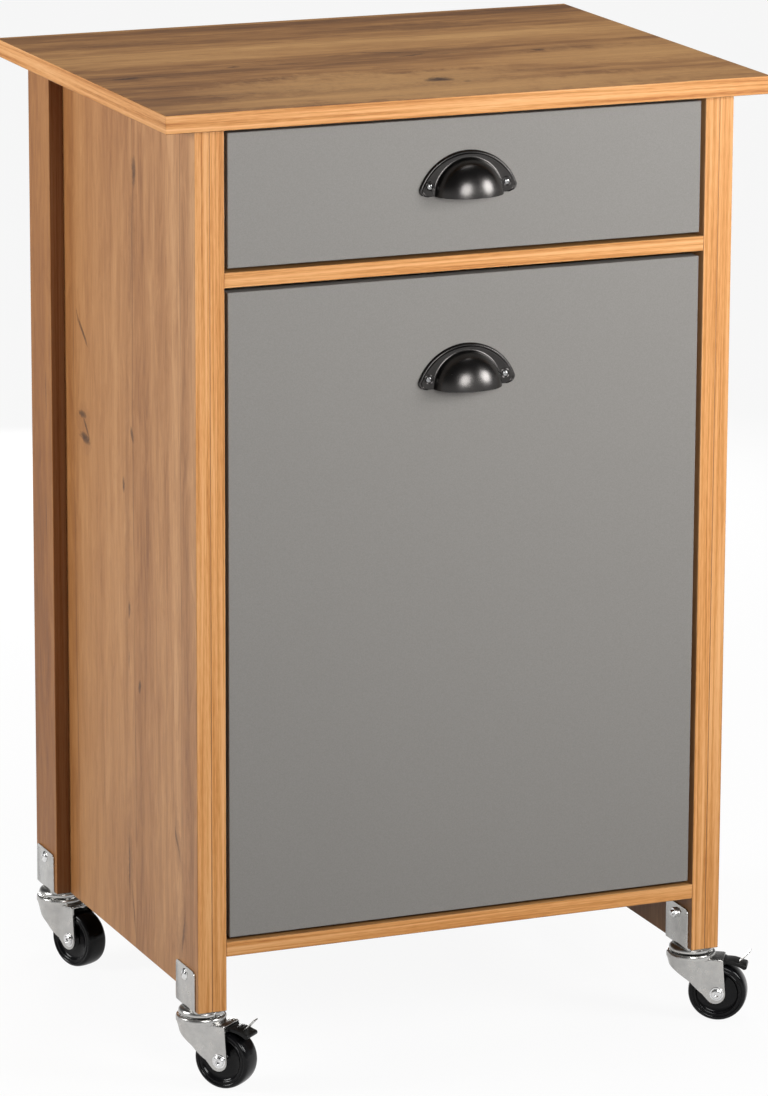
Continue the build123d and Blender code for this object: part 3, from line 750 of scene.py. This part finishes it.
def fork(corner, x, y, turn):
    """The fork's shell, top plate and half of the race, and the axle."""
    side_frame = upright(x, y, turn)
    body = f"caster_{corner}"
    piece(
        f"fork_shell_{corner}", *fork_shell(), body, ZINC, "zinc_steel", [f"caster_fork_{corner}"], side_frame, 28.0
    )
    # Trailing top plate, with the bend into the cheeks
    outline = [(6.0, -CHEEK)] + arc((BACK_EDGE - 3, -CHEEK + 3), 3, -90, 0, 4)
    outline += arc((BACK_EDGE - 3, CHEEK - 3), 3, 0, 90, 4) + [(6.0, CHEEK)]
    plate, plate_faces = slab(outline, PLATE_BASE, PLATE_TOP)
    piece(
        f"fork_plate_{corner}", plate, plate_faces, body, ZINC, "zinc_steel",
        matrix=level_frame(x, y, turn), finish=rounded_edges(0.7),
    )
    race = [
        (4.1, 64.0), (22.5, 64.0), (24.2, 64.4), (24.9, 65.6), (25.0, 67.6), (24.9, 69.4), (24.3, 70.6),
        (23.2, 71.1), (21.6, 71.0), (20.9, 70.2), (12.0, 70.0), (4.1, 70.0),
    ]
    points, faces = lathe(race, 96)
    piece(f"fork_race_{corner}", points, faces, body, ZINC, "zinc_steel", matrix=level_frame(x, y, turn))
    # Axle with a domed head outside each cheek
    shapes = []
    for way in (-1, 1):
        head = [(0.001, CHEEK), (7.2, CHEEK), (7.2, CHEEK + 0.5), (6.9, CHEEK + 0.8), (5.5, CHEEK + 0.8)]
        head += [(5.5, CHEEK + 1.4), (5.1, CHEEK + 2.2), (4.2, CHEEK + 2.7), (2.5, CHEEK + 2.9), (2.1, CHEEK + 2.6)]
        head += [(1.9, CHEEK + 0.6), (0.001, CHEEK + 0.6)]
        points, faces = lathe(head, 40, (TRAIL, WHEEL))
        shapes.append(([(px, py, way * pz) for px, py, pz in points], faces))
    shapes.append(lathe([(0.001, -CHEEK), (3.0, -CHEEK), (3.0, CHEEK), (0.001, CHEEK)], 32, (TRAIL, WHEEL)))
    piece(f"axle_{corner}", *together(*shapes), body, SCREW, "zinc_steel", matrix=side_frame)


def wheel(corner, x, y, turn):
    """A wheel with ring grooves in its sides and a rounded tread."""
    half = [
        (3.1, 12.0), (6.8, 12.0), (7.6, 11.4), (8.2, 9.6), (9.5, 9.0), (19.5, 9.2), (20.8, 10.0), (21.6, 11.2),
        (22.4, 11.75), (23.6, 11.8), (24.1, 11.2), (24.9, 11.15), (25.4, 11.8), (26.4, 12.0), (27.6, 11.6),
        (28.6, 10.6), (29.2, 9.2), (29.6, 7.0), (29.85, 4.0), (29.95, 1.5),
    ]
    profile = half + [(r, -h) for r, h in reversed(half)]
    points, faces = lathe(profile, 96, (TRAIL, WHEEL))
    piece(
        f"wheel_{corner}", points, faces, f"wheel_{corner}", BLACK_WHEEL, "black_wheel",
        [f"caster_wheel_{corner}"], upright(x, y, turn), 50.0,
    )


def brake(corner, x, y, turn):
    """The brake's black saddle over the tread with its ears, and the steel blade on it."""
    under = [(33.0, 60.45), (36.0, 60.3), (40.0, 60.0), (45.0, 59.25), (50.0, 57.4), (54.6, 54.9)]
    over = [(57.0, 55.6), (57.9, 57.6), (56.8, 59.8), (53.5, 60.6)]
    over += [(49.0, 62.3), (44.5, 63.5), (39.0, 63.9), (33.4, 63.7)]
    saddle = slab(under + over, -10.2, 10.2)
    ear = slab(arc((31.5, 62.0), 2.2, 60, 300, 8) + [(36.0, 60.6), (36.0, 63.6)], -12.2, 12.2)
    body = f"brake_{corner}"
    frame_here = upright(x, y, turn)
    piece(
        f"brake_saddle_{corner}", *saddle, body, BLACK_LEVER, "black_lever", [f"brake_lever_{corner}"],
        frame_here, finish=rounded_edges(0.9, 3),
    )
    piece(
        f"brake_ears_{corner}", *ear, body, BLACK_LEVER, "black_lever",
        matrix=frame_here, finish=rounded_edges(0.3),
    )
    blade = slab([(47.8, 60.6), (49.0, 59.6), (54.5, 66.0), (61.0, 73.2), (60.2, 74.1), (53.6, 66.8)], -4.5, 4.5)
    piece(f"brake_blade_{corner}", *blade, body, ZINC, "zinc_steel", matrix=frame_here, finish=rounded_edges(0.35))


def bracket(corner, x, y):
    """Bent plate round the leg's lower end, the upper half of the race under it, the king pin and the bolt."""
    outer, inner, high, low, bend = 17.0, 15.0, 122.0, 79.0, 3.0
    section = [(outer, high)] + arc((outer - bend, low + bend), bend, 0, -90, 5)
    section += arc((-outer + bend, low + bend), bend, -90, -180, 5) + [(-outer, high), (-inner, high)]
    section += arc((-inner + 1, low + 3), 1, 180, 270, 3) + arc((inner - 1, low + 3), 1, 270, 360, 3)
    section.append((inner, high))
    half_length = 25.0
    points = [(px, place_y, pz) for place_y in (-half_length, half_length) for px, pz in section]
    size = len(section)
    faces = [tuple(range(size)), tuple(reversed(range(size, 2 * size)))]
    faces += [(k, size + k, size + (k + 1) % size, (k + 1) % size) for k in range(size)]
    moved = Matrix.Translation((x * MM, y * MM, 0))
    plate = piece(
        f"bracket_{corner}", points, faces, "cabinet", ZINC, "zinc_steel",
        matrix=moved, finish=rounded_corners(5.0, high, 0.35),
    )
    puck = [
        (4.0, 72.0), (19.8, 72.0), (21.6, 72.3), (22.4, 73.2), (22.5, 74.6), (22.0, 76.4), (20.8, 77.8),
        (18.6, 78.8), (17.0, 79.0), (4.0, 79.0),
    ]
    piece(f"bracket_race_{corner}", *lathe(puck, 96), "cabinet", ZINC, "zinc_steel", matrix=moved)
    pin = [(0.001, 61.3), (6.0, 61.3), (7.0, 62.0), (7.0, 63.6), (4.0, 63.8), (4.0, 72.5), (0.001, 72.5)]
    piece(f"king_pin_{corner}", *lathe(pin, 40), "cabinet", ZINC, "zinc_steel", matrix=moved)
    side = 1 if x > 0 else -1
    level = 113.0
    head = head_matrix(x + side * outer, y, level, (side, 0, 0))
    dome = lathe(dome_profile(6.0, 3.2), 40)
    piece(
        f"bracket_screw_{corner}", *dome, "cabinet", SCREW, "zinc_steel",
        matrix=head, finish=slotted(1.6, 2.0, -35),
    )
    inside = head_matrix(x - side * outer, y, level, (-side, 0, 0))
    nut = slab([(5.5 * cos(radians(a)), 5.5 * sin(radians(a))) for a in range(0, 360, 60)], 0.0, 4.0)
    end = lathe([(0.001, 0.0), (2.9, 0.0), (2.9, 6.4), (2.4, 7.0), (0.001, 7.0)], 24)
    piece(f"bracket_nut_{corner}", *nut, "cabinet", SCREW, "zinc_steel", matrix=inside, finish=rounded_edges(0.4))
    piece(f"bracket_bolt_end_{corner}", *end, "cabinet", SCREW, "zinc_steel", matrix=inside)
    return plate


for corner, turn in TURN.items():
    end, side = corner.split("_")
    x, y = SIDES[side] * LEG_X, LEG_Y[end]
    fork(corner, x, y, turn)
    wheel(corner, x, y, turn)
    if end == "front":
        brake(corner, x, y, turn)
    bracket(corner, x, y)
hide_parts("caster_brackets", "bracket_screws")


# Nail heads along the back panel's edges
low, high = (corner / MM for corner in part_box("back_panel"))
INSET, ROWS, COLUMNS = 6, 6, 4
wide, tall = high.x - low.x - 2 * INSET, high.z - low.z - 2 * INSET
places = [(low.x + INSET, low.z + INSET + tall * k / ROWS) for k in range(ROWS + 1)]
places += [(high.x - INSET, z) for _, z in places]
places += [(low.x + INSET + wide * k / COLUMNS, z) for k in range(1, COLUMNS) for z in (low.z + INSET, high.z - INSET)]
nail, nail_faces = lathe(dome_profile(2.4, 0.7, -0.4), 16)
nails = [([(px + x, high.y + pz, py + z) for px, py, pz in nail], nail_faces) for x, z in places]
piece("back_panel_nails", *together(*nails), "cabinet", ZINC, "zinc_steel")


# Bins: rounded tubs with a turned-down rim
def rounded_box(half_x, half_y, corner):
    """An outline of a box with round corners."""
    made = []
    for way_x, way_y, start in ((1, 1, 0), (-1, 1, 90), (-1, -1, 180), (1, -1, 270)):
        centre = (way_x * (half_x - corner), way_y * (half_y - corner))
        made += arc(centre, corner, start, start + 90, 8)
    return made


def recycling_bin(side):
    """A tub from its foot up, over the rim and down inside."""
    low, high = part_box(f"recycling_bin_{side}")
    mid_x, mid_y = (low.x + high.x) / 2 / MM, (low.y + high.y) / 2 / MM
    base, top = low.z / MM, high.z / MM
    half_x, half_y, rim = 106.0, 184.0, 5.0
    lean = 0.0349  # tangent of the 2 degrees that each wall leans out
    rings = []

    def ring(height, grow, corner=30.0):
        back_off = (top - height) * lean
        outline = rounded_box(half_x + grow - back_off, half_y + grow - back_off, corner)
        rings.append([(mid_x + px, mid_y + py, height) for px, py in outline])

    ring(base, -6.0, 24.0)
    ring(base + 0.8, -2.4, 26.0)
    ring(base + 4.0, -0.2)
    ring(base + 8.0, 0.0)
    for k in range(1, 6):
        ring(base + 8 + (top - 26 - base) * k / 6, 0.0)
    ring(top - 20.0, 0.0)
    ring(top - 17.0, 0.4)
    ring(top - 16.0, 0.6)
    ring(top - 15.0, 4.3)
    ring(top - 14.2, rim - 0.2)
    ring(top - 8.0, rim)
    ring(top - 2.0, rim)
    ring(top - 0.6, rim - 0.7)
    ring(top, rim - 2.0)
    ring(top, -0.6)
    ring(top - 0.7, -2.0)
    ring(top - 3.0, -2.5)
    for k in range(1, 6):
        ring(top - 3 - (top - base - 12) * k / 6, -2.5)
    ring(base + 7.0, -2.5)
    ring(base + 4.0, -4.0, 27.0)
    ring(base + 2.6, -8.0, 23.0)
    size = len(rings[0])
    points = [p for row in rings for p in row]
    faces = []
    for r in range(len(rings) - 1):
        for c in range(size):
            after = (c + 1) % size
            faces.append((r * size + c, r * size + after, (r + 1) * size + after, (r + 1) * size + c))
    faces.append(tuple(reversed(range(size))))
    faces.append(tuple(range((len(rings) - 1) * size, len(rings) * size)))
    piece(
        f"recycling_tub_{side}", points, faces, "bin_pullout", BIN_PLASTIC, "bin_plastic", [f"recycling_bin_{side}"],
        sharp=60.0,
    )


for side in SIDES:
    recycling_bin(side)


# Floor, light and camera
def seen_rays(tree):
    """The Light Path node, and 1 for rays from the camera, from reflections and through glass."""
    path = put(tree, "ShaderNodeLightPath")
    seen = math(tree, "MAXIMUM", path.outputs["Is Camera Ray"], path.outputs["Is Glossy Ray"])
    return path, math(tree, "MAXIMUM", seen, path.outputs["Is Transmission Ray"])


REACH = 30.0
floor_mesh = bpy.data.meshes.new("floor")
floor_mesh.from_pydata(
    [(-REACH, -REACH, 0), (REACH, -REACH, 0), (REACH, REACH, 0), (-REACH, REACH, 0)], [], [(0, 1, 2, 3)]
)
floor = bpy.data.objects.new("floor", floor_mesh)
bpy.context.scene.collection.objects.link(floor)
floor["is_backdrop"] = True
floor_material, tree, shader = new_material("pale_floor")
path, seen = seen_rays(tree)
tone = blend(tree, seen, (0.08, 0.08, 0.08, 1.0), (0.8, 0.8, 0.8, 1.0))
dress(tree, shader, Base_Color=tone, Roughness=0.9, Specular_IOR_Level=0.0)
glow = put(tree, "ShaderNodeEmission", (("Color", (1.0, 1.0, 1.0, 1.0)), ("Strength", 1.0)))
lit = math(tree, "MULTIPLY", seen, 0.92)
share = math(tree, "SUBTRACT", lit, math(tree, "MULTIPLY", path.outputs["Is Glossy Ray"], 0.42))
mixed = put(tree, "ShaderNodeMixShader", ((0, share),))
tree.links.new(shader.outputs[0], mixed.inputs[1])
tree.links.new(glow.outputs[0], mixed.inputs[2])
output = next(n for n in tree.nodes if n.type == "OUTPUT_MATERIAL")
tree.links.new(mixed.outputs[0], output.inputs[0])
floor_mesh.materials.append(floor_material)

world = bpy.data.worlds.new("studio")
bpy.context.scene.world = world
world.use_nodes = True
tree = world.node_tree
tree.nodes.clear()
path, seen = seen_rays(tree)
height = put(tree, "ShaderNodeSeparateXYZ", ((0, put(tree, "ShaderNodeTexCoord").outputs["Generated"]),)).outputs[Z]
studio = ramp(tree, height, (0.0, 0.75), (0.1, 0.4), (0.3, 0.1), (0.7, 0.06))
level = math(tree, "ADD", times(tree, seen, studio), math(tree, "MULTIPLY", math(tree, "SUBTRACT", 1.0, seen), 0.03))
level = math(tree, "MAXIMUM", level, path.outputs["Is Camera Ray"])
back = put(tree, "ShaderNodeBackground", (("Color", (1.0, 1.0, 1.0, 1.0)), ("Strength", level)))
tree.links.new(back.outputs[0], put(tree, "ShaderNodeOutputWorld").inputs[0])


def lamp(name, at, aim, size, power):
    """A round lamp that the camera doesn't see. Metres and watts."""
    data = bpy.data.lights.new(name, "AREA")
    data.shape = "DISK"
    data.size = size
    data.energy = power
    made = bpy.data.objects.new(name, data)
    made.location = at
    made.rotation_euler = (Vector(aim) - Vector(at)).to_track_quat("-Z", "Y").to_euler()
    made.visible_camera = False
    bpy.context.scene.collection.objects.link(made)


lamp("front", (-0.2, -2.0, 1.22), (0.0, -0.2, 0.8), 0.85, 22.0)
lamp("right", (1.4, -1.45, 1.22), (0.0, -0.2, 0.8), 0.85, 29.5)
lamp("left", (-2.2, 0.45, 1.2), (-0.28, -0.05, 0.6), 0.9, 40.0)
lamp("over", (0.2, 0.3, 3.0), (0.0, 0.0, 0.9), 1.6, 31.0)
lamp("back", (0.7, 2.5, 0.55), (0.0, 0.2, 0.5), 0.7, 36.0)

# Camera, fitted to the photograph's edges
AZIMUTH, PITCH, ROLL = radians(22.574), radians(14.223), radians(0.224)
FOCAL_PIXELS, LONG_SIDE, SENSOR = 5720.5, 1096.0, 36.0
forward = Vector((sin(AZIMUTH) * cos(PITCH), cos(AZIMUTH) * cos(PITCH), -sin(PITCH)))
right = Vector((cos(AZIMUTH), -sin(AZIMUTH), 0.0))
up = right.cross(forward)
right, up = right * cos(ROLL) + up * sin(ROLL), up * cos(ROLL) - right * sin(ROLL)
camera_data = bpy.data.cameras.new("camera")
camera_data.sensor_width = SENSOR
camera_data.lens = FOCAL_PIXELS / LONG_SIDE * SENSOR
camera_data.clip_start, camera_data.clip_end = 0.5, 100.0
camera = bpy.data.objects.new("camera", camera_data)
bpy.context.scene.collection.objects.link(camera)
turned = Matrix((right, up, -forward)).transposed().to_4x4()
camera.matrix_world = Matrix.Translation(Vector((-2140.2, -5165.8, 1886.7)) * MM) @ turned
bpy.context.scene.camera = camera
bpy.context.scene.view_settings.view_transform = "Standard"

low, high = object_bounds()
